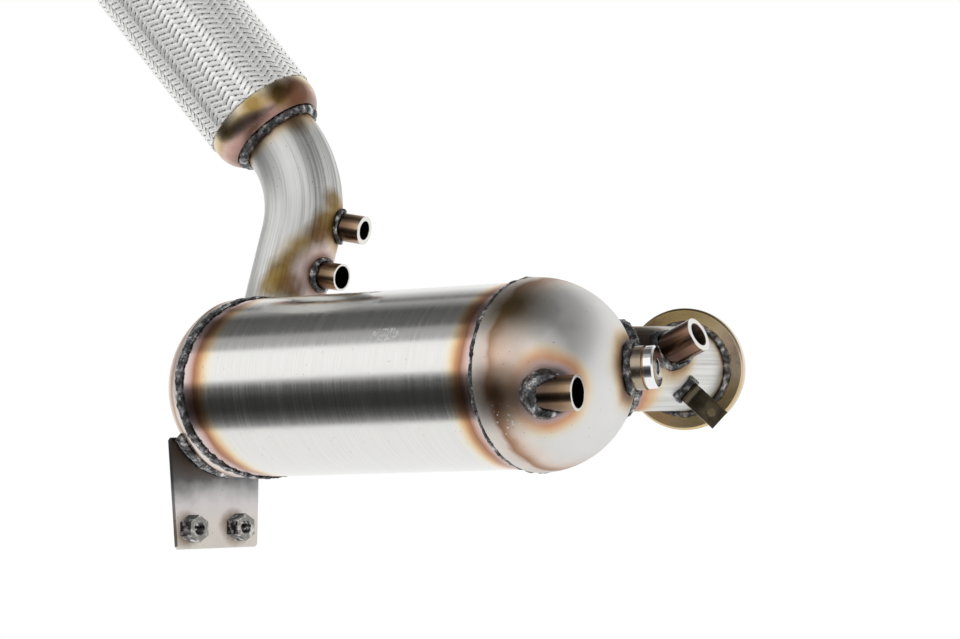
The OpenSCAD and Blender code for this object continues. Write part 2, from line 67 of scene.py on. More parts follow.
ORIGIN = (0, 0, 0)
X_WAY = (1, 0, 0)
Z_WAY = (0, 0, 1)

# Canister and its domes, in metres: DOME and CAP are where the two seams cross the canister's axis
shell_low, shell_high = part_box("canister_shell")
CAN_Y = (shell_high.y + shell_low.y) / 2
CAN_Z = (shell_high.z + shell_low.z) / 2
DOME = Vector((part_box("inlet_dome")[0].x, CAN_Y, CAN_Z))
CAP = Vector((0.040, CAN_Y, CAN_Z))
MITRE = math.radians(17)
CAP_OUT = Vector((-math.cos(MITRE), math.sin(MITRE), 0))

# Camera: direction, roll, lens and where the middle of the inlet dome falls in the picture
IMAGE_W, IMAGE_H = 960, 639
VIEW_AZ = math.radians(42.7)
VIEW_EL = math.radians(-1.9)
VIEW_ROLL = math.radians(1.5)
FOCAL_PX = 4768
DOME_DEPTH = 3.216
DOME_PX, DOME_PY = 538.5, 375
SENSOR_MM = 36
CLIP_END = 50

# Brightness of the studio round the canister: 0 is the near side, 90 overhead, -90 the floor
STUDIO = [
    (-180, 1.0), (-57, 1.0), (-51, 0.3), (-42, 0.1), (-30, 0.035), (-14, 0.04), (0, 0.14), (6, 0.5),
    (10, 1.1), (46, 1.1), (51, 0.5), (66, 0.42), (71, 0.14), (98, 0.1), (106, 0.25), (114, 0.45),
    (121, 0.16), (130, 0.5), (146, 0.95), (180, 1.0)]
FLOOR_AT = (0.1, 0, -0.16)
FLOOR_R = 1.2
FLOOR_SIDES = 96


def mount_line(name):
    """Mouth of a port and the way out of it."""
    return Vector(MOUNTS[name]["pos_m"]), Vector(MOUNTS[name]["axis"]).normalized()


def mount_size(name, size):
    return MOUNTS[name]["dims"][size] * MM


def points_of(node):
    co = np.zeros(len(NODES[node].data.vertices) * 3, np.float32)
    NODES[node].data.vertices.foreach_get("co", co)
    return co.reshape(-1, 3).astype(float)


def span_along(node, origin, axis):
    """Lowest and highest place of a node along a line."""
    t = (points_of(node) - np.array(origin)) @ np.array(axis)
    return t.min(), t.max()


def frame_along(origin, axis):
    """Matrix whose Z axis is the given line."""
    z = Vector(axis).normalized()
    matrix = z.to_track_quat("Z", "Y").to_matrix().to_4x4()
    matrix.translation = origin
    return matrix


# Ports: mouth, way out and bore
STUB_AT, STUB_AXIS = mount_line("dome_stub_bore")
LAMBDA_AT, LAMBDA_AXIS = mount_line("lambda_thread")
BOSS_AT, BOSS_AXIS = mount_line("boss_thread")
PORT_AT, PORT_AXIS = mount_line("outlet_stub_bore")
TAIL_AT, TAIL_AXIS = mount_line("tail_bore")
INLET_AT, INLET_AXIS = mount_line("inlet_bore")
TAB_AT = mount_line("tab_hole")[0]
STUB_BORE = mount_size("dome_stub_bore", "r_mm")
LAMBDA_BORE = mount_size("lambda_thread", "r_mm")
BOSS_BORE = mount_size("boss_thread", "r_mm")
PORT_BORE = mount_size("outlet_stub_bore", "r_mm")
BORE_MARGIN = 0.0003
THREAD_PITCH = 0.0015

# Distance from each port's mouth back to its root, and from the root out to where its tint begins
STUB_ROOT, STUB_RING = 0.022, 0.017
LAMBDA_ROOT, LAMBDA_RING = 0.027, 0.014
BOSS_ROOT, BOSS_RING = 0.0215, 0.013
PORT_ROOT, PORT_RING = 0.0205, 0.0145

# Sensor bung: way and distance of its foot from the middle of the dome, and where its tint begins
BUNG_WAY, BUNG_REACH = Vector((0.9020, 0.4302, 0.0349)), 0.0645
BUNG_FOOT = DOME + BUNG_WAY * BUNG_REACH
BUNG_RING = 0.0205

# Outlet pipe: compass direction and climb out of the dome, where its first run ends, runs and bends
PIPE_R = 0.029
PIPE_BORE = mount_size("tail_bore", "r_mm")
PIPE_AIM = (133, 10)
PIPE_LEAD = 0.067
PIPE_LEGS = [(0.0075,), (0.082, 79, 195.5), (0.027,), (0.082, 53, 83.5), (0.014,)]

# Length of the outlet pipe in its collar, depth of its port holes and the way that its side in painted
# shade faces
COLLAR_GRIP = 0.0115
PORT_DRILL = 0.045
SHADED_WAY = Vector((0.80, 0.60, 0))

# Inlet elbow, in the same terms, and its start above the middle of the dome
ELBOW_R = 0.029
ELBOW_BORE = mount_size("inlet_bore", "r_mm")
ELBOW_AIM = (66, 0)
ELBOW_RISE = Vector((0, 0, 0.003))
ELBOW_LEAD = 0.071
ELBOW_LEGS = [(0.0125,), (0.060, 50, 90), (0.016,)]
FLANGE_GRIP = 0.0085
LAMBDA_DRILL = 0.048

# Tail pipe, and the steps that all tubes are made in (metres on a run, degrees on a bend)
TAIL_LEN = mount_size("tail_bore", "length_mm")
TAIL_WELD_AT = 0.050
ROOT_WELD = 0.004
TUBE_SIDES = 112
DRILL_SIDES = 48
RUN_STEP = 0.004
BEND_STEP = 1.5

# Woven braid: flat bundles of wire, two over and two under
BRAID_LOW, BRAID_HIGH = span_along("flex_braid", TAIL_AT, TAIL_AXIS)
STRANDS = 30
BRAID_R = 0.0434
STRAND_W = 0.0035
STRAND_T = 0.00035
STRAND_SECTION = [(-0.5, 0.0), (-0.4, 0.75), (0.0, 1.0), (0.4, 0.75), (0.5, 0.0), (0.0, -0.6)]
STRAND_LEAN = math.radians(61.9)
STRAND_STEPS = 151
STRAND_WIRES = 7
WEAVE_LIFT = 0.00038
WEAVE_REPEAT = 4
WEAVE_START = -0.5
WEAVE_STEEP = 1.5

# Weld beads: voxel size, growth, height and scales of the lumps
BEAD_VOXEL = 0.0008
BEAD_GROW = 0.0001
BEAD_LUMP = 0.001
LUMP_SCALE, RIPPLE_SCALE, RIPPLE_SHARE = 170.0, 520.0, 0.45

# Bracket: nuts, and how far to one side the burnt rings lie
NUT_SPACING = mount_size("bracket_bolts", "spacing_x_mm")
BURN_SHIFT = -0.0015
BURN_X = 0.003
FACE_MARGIN = 0.00015
NUT_FACE_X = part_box("weld_nut_front")[1].x - FACE_MARGIN

# Spread that most of a noise falls in
NOISE_LOW, NOISE_HIGH = 0.3, 0.7

# Scale and detail of the noise at the edges of tints and stains, and in satin steel
TINT_EDGE = (34.0, 2.0)
STAIN_EDGE = (60.0, 3.0)
SATIN_GRAIN = (420.0, 2.0)

# Scales of the brushed lines round the canister and of the streaks along a tube
BRUSH_LINES = (900.0, 10.0, 10.0)
STREAK_ROUND, STREAK_ALONG = 16.0, 7.0

# Depth of each kind of relief, pitch of the flange's turned rings, and radii that soften edges
FINE_RELIEF = 0.0004
BRUSH_RELIEF = 0.0003
THREAD_RELIEF = 0.0006
NUT_RELIEF = 0.0008
WELD_RELIEF = 0.003
RING_RELIEF = 0.0002
WIRE_RELIEF = 0.0002
RING_PITCH = 0.0009
SHARP_EDGE, ROUND_EDGE = 0.0004, 0.0005

# Cut end of a port and the painted shade in its bore behind it, in millimetres from its mouth
RIM_DEPTH = 0.4
BORE_SHADE_FROM, BORE_SHADE_TO = 0.3, 6.0

# How far from its hole the tab is clean, and dark again
TAB_CLEAN, TAB_DARK = 0.004, 0.016

# Dark and light tone of each plain surface
SHELL_TONES = (0.69, 0.685, 0.665), (0.83, 0.825, 0.81)
DOME_TONES = (0.76, 0.755, 0.74), (0.83, 0.825, 0.81)
CAP_TONES = (0.66, 0.64, 0.60), (0.76, 0.74, 0.71)
FLANGE_TONES = (0.56, 0.42, 0.22), (0.70, 0.57, 0.36)
TAB_TONES = (0.06, 0.05, 0.035), (0.13, 0.11, 0.07)
BRAID_TONES = (0.90, 0.90, 0.885), (0.98, 0.98, 0.965)
BUNG_TONES = (0.30, 0.24, 0.18), (0.5, 0.42, 0.32)
PLUG_TONES = (0.82, 0.82, 0.82), (0.9, 0.9, 0.9)
WASHER_TONES = (0.5, 0.32, 0.2), (0.68, 0.45, 0.3)
# The bellows is painted near black: painted shade from the braid round it
BELLOWS_PAINTED_SHADE_TONES = (0.02, 0.02, 0.019), (0.05, 0.05, 0.048)
OXIDATION_TONES = (0.6, 0.53, 0.42), (0.7, 0.63, 0.52)
FILTER_TONES = (0.34, 0.34, 0.33), (0.46, 0.46, 0.44)
MAT_TONES = (0.8, 0.78, 0.72), (0.88, 0.86, 0.8)
FLOOR_TONES = (0.86, 0.86, 0.855), (0.9, 0.9, 0.895)

# Single colours
SPECK = (0.12, 0.11, 0.10)
DOME_SPECK = (0.14, 0.13, 0.12)
BRACKET_SPECK = (0.15, 0.13, 0.11)
SCRATCHED = (0.95, 0.95, 0.94)
SPATTER_WHITE = (0.96, 0.96, 0.95)
SHADE_GREY = (0.30, 0.30, 0.295)
RIM_STEEL = (0.8, 0.78, 0.74)
# Painted shade inside the bores of the ports
BORE_SHADE = (0.03, 0.028, 0.026)
NUT_BARE = (0.52, 0.5, 0.47)
NUT_BURN = (0.17, 0.10, 0.05)
TAB_TAN = (0.36, 0.29, 0.18)
OLIVE = (0.21, 0.13, 0.025)
GOLD = (0.32, 0.21, 0.05)
UMBER = (0.16, 0.08, 0.03)

# Heat tint beside welds: millimetres away, colour and strength
SHELL_HEAT = [
    (0, (0.64, 0.52, 0.50), 0.9), (4, (0.58, 0.38, 0.33), 0.95), (8, (0.34, 0.15, 0.08), 0.97),
    (12, (0.52, 0.26, 0.12), 0.95), (16, (0.74, 0.50, 0.25), 0.85), (21, (0.84, 0.74, 0.52), 0.45),
    (28, (0.8, 0.78, 0.7), 0.0)]
DOME_HEAT = [
    (0, (0.78, 0.72, 0.66), 0.8), (5, (0.76, 0.64, 0.56), 0.8), (9, (0.36, 0.18, 0.09), 0.95),
    (13, (0.48, 0.28, 0.16), 0.85), (19, (0.74, 0.55, 0.43), 0.65), (26, (0.80, 0.68, 0.58), 0.35),
    (36, (0.74, 0.72, 0.68), 0.0)]
PORT_HEAT = [
    (0, (0.16, 0.14, 0.15), 1.0), (3, (0.52, 0.36, 0.34), 0.95), (7, (0.68, 0.34, 0.18), 0.95),
    (11, (0.80, 0.52, 0.28), 0.8), (15, (0.86, 0.74, 0.5), 0.45), (20, (0.8, 0.76, 0.68), 0.0)]
WELD_HEAT = [
    (0, (0.26, 0.17, 0.12), 1.0), (3, (0.46, 0.30, 0.16), 0.95), (6, (0.62, 0.46, 0.26), 0.7),
    (10, (0.80, 0.70, 0.55), 0.35), (15, (0.8, 0.78, 0.74), 0.0)]
RING_HEAT = [
    (0, (0.34, 0.22, 0.18), 1.0), (5, (0.74, 0.58, 0.55), 0.95), (10, (0.86, 0.74, 0.70), 0.8),
    (14, (0.58, 0.36, 0.16), 0.8), (19, (0.50, 0.37, 0.14), 0.5), (26, (0.6, 0.5, 0.3), 0.0)]

# How far from a seam the tint begins on the shell and on a dome
SHELL_HEAT_IN = 0.005
DOME_HEAT_OUT = 0.004

# Colours along a port from its mouth, up the bracket and up a collar, in millimetres
BRONZE = [
    (0, (0.46, 0.34, 0.24), 1), (6, (0.33, 0.22, 0.14), 1), (12, (0.20, 0.13, 0.08), 1),
    (20, (0.12, 0.08, 0.06), 1)]
COPPER = [
    (0, (0.28, 0.17, 0.12), 1), (8, (0.18, 0.10, 0.065), 1), (16, (0.1, 0.055, 0.04), 1),
    (26, (0.08, 0.05, 0.04), 1)]
# Up the bracket: clean steel, then darker towards its top, a painted reflection
BRACKET_PAINTED_REFLECTION = [
    (-14, (0.66, 0.62, 0.56), 1), (6, (0.68, 0.63, 0.59), 1), (17, (0.66, 0.62, 0.62), 1),
    (26, (0.44, 0.43, 0.43), 1), (35, (0.16, 0.16, 0.16), 1), (50, (0.1, 0.1, 0.1), 1)]
COLLAR_SCALE = [
    (0, (0.30, 0.20, 0.16), 1), (4, (0.50, 0.30, 0.26), 1), (8, (0.66, 0.46, 0.40), 1),
    (12, (0.60, 0.42, 0.24), 1), (16, (0.74, 0.60, 0.38), 1), (20, (0.82, 0.74, 0.58), 1)]

# Colours by the height of a noise
STREAK_STEEL = [
    (0.3, (0.60, 0.60, 0.58), 1), (0.45, (0.76, 0.76, 0.74), 1), (0.55, (0.82, 0.82, 0.80), 1),
    (0.7, (0.87, 0.87, 0.85), 1)]
# Weld colours: dark scale, and bright patches that are painted highlights
WELD_SCALE_AND_PAINTED_GLINTS = [
    (0.34, (0.035, 0.035, 0.036), 1), (0.5, (0.10, 0.10, 0.104), 1), (0.6, (0.34, 0.34, 0.35), 1),
    (0.7, (0.8, 0.8, 0.8), 1)]
NUT_SCALE = [
    (0.4, (0.03, 0.027, 0.025), 1), (0.52, (0.09, 0.085, 0.08), 1), (0.6, (0.5, 0.49, 0.47), 1),
    (0.7, (0.75, 0.74, 0.72), 1)]

# Stains, marks, painted sheen and painted reflections: place in metres, inner and outer reach in
# millimetres, colour, strength and any seed
SCUFF = Vector((0.2145, -0.0362, 0.1295))
SCUFF_STRETCH = (0.35, 1.0, 1.0)
SCUFF_INNER, SCUFF_OUTER = 0.003, 0.0055
DOME_SPATTER = Vector((0.322, -0.037, 0.069))
DOME_STAINS = [
    (Vector((0.330, -0.040, 0.106)), 6, 34, (0.74, 0.52, 0.40), 0.55, 7.7),
    (Vector((0.323, -0.027, 0.144)), 5, 34, (0.13, 0.085, 0.03), 0.93, 2.2),
    (Vector((0.321, -0.044, 0.087)), 2, 24, (0.12, 0.06, 0.025), 0.9, 4.1)]
# Painted sheen on the turned flange: dark at the top, pale pink at one side, tan at the bottom
FLANGE_PAINTED_SHEEN = [
    (INLET_AT + Vector((0.0, -0.004, 0.040)), 10, 34, (0.36, 0.26, 0.11), 0.9, 2.0),
    (INLET_AT + Vector((0.032, 0.018, 0.010)), 8, 26, (0.80, 0.66, 0.54), 0.8, 5.0),
    (INLET_AT + Vector((0.012, 0.006, -0.042)), 6, 22, (0.72, 0.55, 0.28), 0.7, 8.0)]
PIPE_STAINS = [
    (Vector((-0.004, 0.139, 0.238)), 5, 13, OLIVE, 0.9),
    (Vector((-0.004, 0.131, 0.222)), 6, 15, OLIVE, 0.95),
    (Vector((-0.006, 0.125, 0.212)), 5, 14, UMBER, 0.9),
    (Vector((-0.013, 0.114, 0.204)), 3, 10, GOLD, 0.7),
    (Vector((-0.019, 0.107, 0.196)), 3, 10, OLIVE, 0.75),
    (Vector((-0.025, 0.102, 0.186)), 6, 15, OLIVE, 0.9),
    (Vector((-0.028, 0.097, 0.176)), 6, 15, GOLD, 0.9),
    (Vector((-0.018, 0.106, 0.175)), 6, 14, UMBER, 0.8),
    (Vector((-0.024, 0.124, 0.296)), 4, 12, UMBER, 0.7)]
# Painted reflections: near-black patches on the elbow by the dome, where it mirrors the lambda boss
ELBOW_PAINTED_REFLECTIONS = [
    (Vector((0.350, 0.075, 0.124)), 12, 24, (0.03, 0.022, 0.016), 1.0),
    (Vector((0.355, 0.077, 0.119)), 6, 15, (0.07, 0.05, 0.04), 0.9)]
COLLAR_STAINS = [
    (Vector((-0.042, 0.095, 0.311)), 4, 12, (0.30, 0.20, 0.05), 0.9),
    (Vector((-0.029, 0.112, 0.317)), 6, 14, (0.20, 0.12, 0.03), 0.95),
    (Vector((-0.027, 0.128, 0.319)), 9, 19, (0.14, 0.06, 0.03), 0.95),
    (Vector((-0.063, 0.088, 0.291)), 2, 8, (0.36, 0.24, 0.08), 0.8)]


class Surface:
    """A material built from small node formulas."""

    def __init__(self, name, metallic=1.0):
        self.material = bpy.data.materials.new(name)
        self.material.use_nodes = True
        self.tree = self.material.node_tree
        self.shader = self.tree.nodes["Principled BSDF"]
        self.shader.inputs["Metallic"].default_value = metallic
        coords = self.tree.nodes.new("ShaderNodeTexCoord")
        self.place = coords.outputs["Object"]
        self.uv = coords.outputs["UV"]

    def put(self, socket, value):
        if isinstance(value, bpy.types.NodeSocket):
            self.tree.links.new(value, socket)
        else:
            socket.default_value = value

    def set(self, **values):
        for name, value in values.items():
            self.put(self.shader.inputs[name.replace("_", " ")], value)

    def math(self, operation, a, b=0.0, clamp=False):
        node = self.tree.nodes.new("ShaderNodeMath")
        node.operation = operation
        node.use_clamp = clamp
        self.put(node.inputs[0], a)
        self.put(node.inputs[1], b)
        return node.outputs[0]

    def vector(self, operation, a, b=(0.0, 0.0, 0.0)):
        node = self.tree.nodes.new("ShaderNodeVectorMath")
        node.operation = operation
        self.put(node.inputs[0], a)
        self.put(node.inputs[1], b)
        scalar = operation in ("DOT_PRODUCT", "LENGTH", "DISTANCE")
        return node.outputs["Value" if scalar else "Vector"]

    def split_uv(self):
        node = self.tree.nodes.new("ShaderNodeSeparateXYZ")
        self.put(node.inputs[0], self.uv)
        return node.outputs["X"], node.outputs["Y"]

    def along(self, origin, axis):
        """Distance past a point along a line."""
        return self.vector("DOT_PRODUCT", self.vector("SUBTRACT", self.place, tuple(origin)), tuple(axis))

    def away(self, point):
        return self.vector("DISTANCE", self.place, tuple(point))

    def off_line(self, origin, axis):
        """Distance from a line."""
        offset = self.vector("SUBTRACT", self.place, tuple(origin))
        return self.vector("LENGTH", self.vector("CROSS_PRODUCT", offset, tuple(axis)))

    def in_bore(self, mouth, axis, bore):
        """One on the wall of a bore and nought outside it."""
        return self.math("LESS_THAN", self.off_line(mouth, axis), bore + BORE_MARGIN)

    def noise(self, vector, scale, detail=3.0, rough=0.55):
        node = self.tree.nodes.new("ShaderNodeTexNoise")
        self.put(node.inputs["Vector"], vector)
        node.inputs["Scale"].default_value = scale
        node.inputs["Detail"].default_value = detail
        node.inputs["Roughness"].default_value = rough
        return node.outputs["Fac"]

    def dots(self, scale, size):
        """One where a small spot lies, on a scatter of cells."""
        node = self.tree.nodes.new("ShaderNodeTexVoronoi")
        self.put(node.inputs["Vector"], self.place)
        node.inputs["Scale"].default_value = scale
        return self.math("LESS_THAN", node.outputs["Distance"], size)

    def scale_range(self, value, low, high, out_low, out_high):
        node = self.tree.nodes.new("ShaderNodeMapRange")
        self.put(node.inputs["Value"], value)
        node.inputs["From Min"].default_value = low
        node.inputs["From Max"].default_value = high
        node.inputs["To Min"].default_value = out_low
        node.inputs["To Max"].default_value = out_high
        return node.outputs["Result"]

    def spread(self, cloud, low, high):
        """Noise stretched over a range."""
        return self.scale_range(cloud, NOISE_LOW, NOISE_HIGH, low, high)

    def ramp(self, value, stops):
        """Colour and strength along a scale; stops are (place, colour, strength)."""
        first, last = stops[0][0], stops[-1][0]
        node = self.tree.nodes.new("ShaderNodeValToRGB")
        self.put(node.inputs["Fac"], self.scale_range(value, first, last, 0.0, 1.0))
        elements = node.color_ramp.elements
        while len(elements) < len(stops):
            elements.new(0.5)
        for element, (place, colour, strength) in zip(elements, stops):
            element.position = (place - first) / (last - first)
            element.color = (*colour, strength)
        return node.outputs["Color"], node.outputs["Alpha"]

    def blend(self, factor, a, b):
        node = self.tree.nodes.new("ShaderNodeMix")
        node.data_type = "RGBA"
        sockets = {socket.identifier: socket for socket in node.inputs}
        self.put(sockets["Factor_Float"], factor)
        self.put(sockets["A_Color"], (*a, 1.0) if isinstance(a, tuple) else a)
        self.put(sockets["B_Color"], (*b, 1.0) if isinstance(b, tuple) else b)
        return next(socket for socket in node.outputs if socket.identifier == "Result_Color")

    def shifted(self, distance, cloud, reach):
        """Distance in millimetres, moved to and fro by a noise over the given reach."""
        shift = self.math("MULTIPLY", self.math("SUBTRACT", cloud, 0.5), reach)
        return self.math("ADD", self.math("MULTIPLY", distance, 1 / MM), shift)

    def uneven(self, distance, edge, wander, seed):
        """Distance in millimetres that wanders either way, differently for each seed."""
        cloud = self.noise(self.vector("ADD", self.place, (seed, seed, seed)), *edge)
        return self.shifted(distance, cloud, 2 * wander)

    def tint(self, base, distance, stops, wander=4.0, seed=0.0):
        """Heat tint by distance from a weld, with an uneven edge."""
        colour, strength = self.ramp(self.uneven(distance, TINT_EDGE, wander, seed), stops)
        return self.blend(strength, base, colour)

    def near(self, point, inner, outer, wander=3.0, seed=0.0):
        """One inside a ball and nought past its outer reach, in millimetres, with an uneven edge."""
        distance = self.uneven(self.away(point), STAIN_EDGE, wander, seed)
        return self.scale_range(distance, inner, outer, 1.0, 0.0)

    def stain_and_sheen(self, base, point, inner, outer, colour, strength, seed, wander=5.0):
        """Patch of tint round a point."""
        amount = self.math("MULTIPLY", self.near(point, inner, outer, wander, seed), strength)
        return self.blend(amount, base, colour)

    def specks(self, base, scale, size, strength, colour):
        """Scatter of small spots."""
        return self.blend(self.math("MULTIPLY", self.dots(scale, size), strength), base, colour)

    def bump(self, height, strength, distance=FINE_RELIEF, edge=0.0):
        """Relief from a height, on edges softened by the given radius."""
        node = self.tree.nodes.new("ShaderNodeBump")
        node.inputs["Strength"].default_value = strength
        node.inputs["Distance"].default_value = distance
        self.put(node.inputs["Height"], height)
        if edge:
            bevel = self.tree.nodes.new("ShaderNodeBevel")
            bevel.inputs["Radius"].default_value = edge
            self.put(node.inputs["Normal"], bevel.outputs["Normal"])
        self.put(self.shader.inputs["Normal"], node.outputs["Normal"])

    def brush_round(self, axis, amount):
        """Gloss that spreads across lines which run round the piece."""
        node = self.tree.nodes.new("ShaderNodeTangent")
        node.direction_type = "RADIAL"
        node.axis = axis
        self.put(self.shader.inputs["Tangent"], node.outputs["Tangent"])
        self.shader.inputs["Anisotropic"].default_value = amount


def shell_surface():
    """Canister: brushed round, tinted beside both seams, with a scuff and a few specks."""
    s = Surface("canister_steel")
    lines = s.noise(s.vector("MULTIPLY", s.place, BRUSH_LINES), 1.0, 2.0)
    cloud = s.noise(s.place, 45.0)
    base = s.blend(lines, *SHELL_TONES)
    from_dome = s.math("SUBTRACT", DOME.x - SHELL_HEAT_IN, s.along(ORIGIN, X_WAY))
    base = s.tint(base, from_dome, SHELL_HEAT, 3.0)
    from_cap = s.math("MULTIPLY", s.along(CAP - CAP_OUT * SHELL_HEAT_IN, CAP_OUT), -1.0)
    base = s.tint(base, from_cap, SHELL_HEAT, 4.0, 3.1)
    base = s.specks(base, 160.0, 0.06, 0.7, SPECK)
    offset = s.vector("MULTIPLY", s.vector("SUBTRACT", s.place, SCUFF), SCUFF_STRETCH)
    patch = s.scale_range(s.vector("LENGTH", offset), SCUFF_INNER, SCUFF_OUTER, 1.0, 0.0)
    scratch = s.scale_range(s.noise(s.place, 300.0, 3.0), 0.5, 0.55, 0.0, 1.0)
    scuff = s.math("MULTIPLY", patch, scratch)
    base = s.blend(scuff, base, SCRATCHED)
    rough = s.scale_range(lines, 0.3, 0.8, 0.06, 0.16)
    rough = s.math("ADD", rough, s.spread(cloud, 0.0, 0.04))
    rough = s.math("ADD", rough, s.math("MULTIPLY", scuff, 0.6))
    s.set(Base_Color=base, Roughness=rough)
    s.brush_round("X", 0.75)
    s.bump(lines, 0.05, BRUSH_RELIEF)
    return s


def dome_surface():
    """Inlet dome: satin, with tint beside the seam, the stub and the bung, and spatter from welding."""
    s = Surface("dome_steel")
    cloud = s.noise(s.place, 60.0)
    base = s.blend(cloud, *DOME_TONES)
    stub_root = STUB_AT - STUB_AXIS * STUB_ROOT
    base = s.tint(base, s.math("SUBTRACT", s.away(stub_root), STUB_RING), PORT_HEAT, 3.0, 1.7)
    base = s.tint(base, s.math("SUBTRACT", s.along(DOME, X_WAY), DOME_HEAT_OUT), DOME_HEAT, 8.0, 0.9)
    for stain_and_sheen in DOME_STAINS:
        base = s.stain_and_sheen(base, *stain_and_sheen)
    base = s.tint(base, s.math("SUBTRACT", s.away(BUNG_FOOT), BUNG_RING), WELD_HEAT, 4.0, 6.4)
    base = s.specks(base, 190.0, 0.07, 0.6, DOME_SPECK)
    base = s.specks(base, 300.0, 0.2, s.near(DOME_SPATTER, 5, 15), SPATTER_WHITE)
    s.set(Base_Color=base, Roughness=s.spread(cloud, 0.38, 0.48))
    s.bump(s.noise(s.place, *SATIN_GRAIN), 0.05)
    return s


def cap_surface():
    """Outlet dome: glossier than the inlet dome, with tint beside the mitred seam."""
    s = Surface("cap_steel")
    cloud = s.noise(s.place, 60.0)
    base = s.blend(cloud, *CAP_TONES)
    base = s.tint(base, s.math("SUBTRACT", s.along(CAP, CAP_OUT), DOME_HEAT_OUT), DOME_HEAT, 4.0, 5.3)
    s.set(Base_Color=base, Roughness=s.spread(cloud, 0.22, 0.34))
    s.bump(s.noise(s.place, *SATIN_GRAIN), 0.05)
    return s


def drawn_tube(name, ports, ends, stains_and_reflections=(), painted_shade_side=None):
    """Tube with streaks along its bends, tint round ports and by welds, stains, painted reflections,
    painted shade on one side.
    """
    s = Surface(name)
    u, length = s.split_uv()
    angle = s.math("MULTIPLY", u, FULL_TURN)
    grain = s.tree.nodes.new("ShaderNodeCombineXYZ")
    s.put(grain.inputs["X"], s.math("MULTIPLY", s.math("COSINE", angle), STREAK_ROUND))
    s.put(grain.inputs["Y"], s.math("MULTIPLY", s.math("SINE", angle), STREAK_ROUND))
    s.put(grain.inputs["Z"], s.math("MULTIPLY", length, STREAK_ALONG))
    streak = s.noise(grain.outputs[0], 1.0, 4.0, 0.7)
    cloud = s.noise(s.place, 50.0)
    base = s.ramp(streak, STREAK_STEEL)[0]
    # Painted shade: the pipe is painted greyer down the given side, as if that side were in shade
    if painted_shade_side is not None:
        side = s.math("COSINE", s.math("SUBTRACT", angle, painted_shade_side))
        uneven = s.scale_range(streak, 0.35, 0.6, 0.3, -0.3)
        amount = s.math("ADD", s.scale_range(side, 0.1, 0.75, 0.0, 0.55), uneven)
        shade = s.math("MULTIPLY", s.scale_range(side, -0.05, 0.35, 0.0, 1.0), amount, True)
        base = s.blend(shade, base, SHADE_GREY)
    for seed, (root, ring, stops) in enumerate(ports):
        base = s.tint(base, s.math("SUBTRACT", s.away(root), ring), stops, 4.0, seed * 2.3)
    for seed, (at, way, stops) in enumerate(ends):
        base = s.tint(base, s.math("MULTIPLY", s.math("SUBTRACT", length, at), way), stops, 3.0, 9 + seed)
    # Stains, and on the elbow painted reflections, laid over the streaks
    for seed, (point, inner, outer, colour, strength) in enumerate(stains_and_reflections):
        mask = s.math("MULTIPLY", s.near(point, inner, outer, 4.0, 3 + seed), strength)
        streaky = s.math("MULTIPLY", mask, s.scale_range(streak, 0.35, 0.62, 1.0, 0.9))
        base = s.blend(streaky, base, colour)
    base = s.specks(base, 170.0, 0.07, 0.7, SPECK)
    rough = s.math("ADD", s.spread(streak, 0.52, 0.38), s.spread(cloud, 0.0, 0.05))
    s.set(Base_Color=base, Roughness=rough)
    s.bump(streak, 0.12)
    return s


def plain_surface(name, tones, rough_low, rough_high, scale=90.0, metallic=1.0, edge=SHARP_EDGE):
    """Cloudy colour and gloss, with softened edges."""
    s = Surface(name, metallic)
    cloud = s.noise(s.place, scale)
    s.set(Base_Color=s.blend(cloud, *tones), Roughness=s.spread(cloud, rough_low, rough_high))
    s.bump(s.noise(s.place, scale * 8, 2.0), 0.08, edge=edge)
    return s


def port_surface(name, mouth, axis, bore, stops):
    """Stub or boss: tint along its length, bright on the cut end, with painted shade in its bore that
    darkens with depth.
    """
    s = Surface(name)
    cloud = s.noise(s.place, 120.0)
    back = s.math("MULTIPLY", s.along(mouth, axis), -1 / MM)
    colour = s.ramp(s.math("ADD", back, s.math("MULTIPLY", cloud, 3.0)), stops)[0]
    end = s.math("LESS_THAN", back, RIM_DEPTH)
    # Painted shade: the bore darkens with depth behind its mouth
    depth = s.scale_range(back, BORE_SHADE_FROM, BORE_SHADE_TO, 0.3, 0.92)
    bore_shade = s.math("MULTIPLY", s.in_bore(mouth, axis, bore), depth)
    colour = s.blend(bore_shade, s.blend(end, colour, RIM_STEEL), BORE_SHADE)
    s.set(Base_Color=colour, Roughness=s.spread(cloud, 0.16, 0.28))
    s.bump(cloud, 0.04, edge=ROUND_EDGE)
    return s


def thread_inside(s, mouth, axis, bore):
    """Screw thread on the inside of a boss."""
    turns = s.math("SINE", s.math("MULTIPLY", s.along(mouth, axis), FULL_TURN / THREAD_PITCH))
    s.bump(s.math("MULTIPLY", turns, s.in_bore(mouth, axis, bore)), 0.9, THREAD_RELIEF, ROUND_EDGE)


def weld_surface():
    """Weld metal: dark scale with bright patches, which are painted highlights."""
    s = Surface("weld_metal", 0.9)
    grain = s.noise(s.place, 420.0, 4.0)
    # Bright patches in the weld colour are painted highlights
    base = s.ramp(s.noise(s.place, 190.0, 4.0), WELD_SCALE_AND_PAINTED_GLINTS)[0]
    s.set(Base_Color=base, Roughness=s.scale_range(grain, 0.35, 0.65, 0.12, 0.26))
    s.bump(grain, 0.7, WELD_RELIEF)
    return s


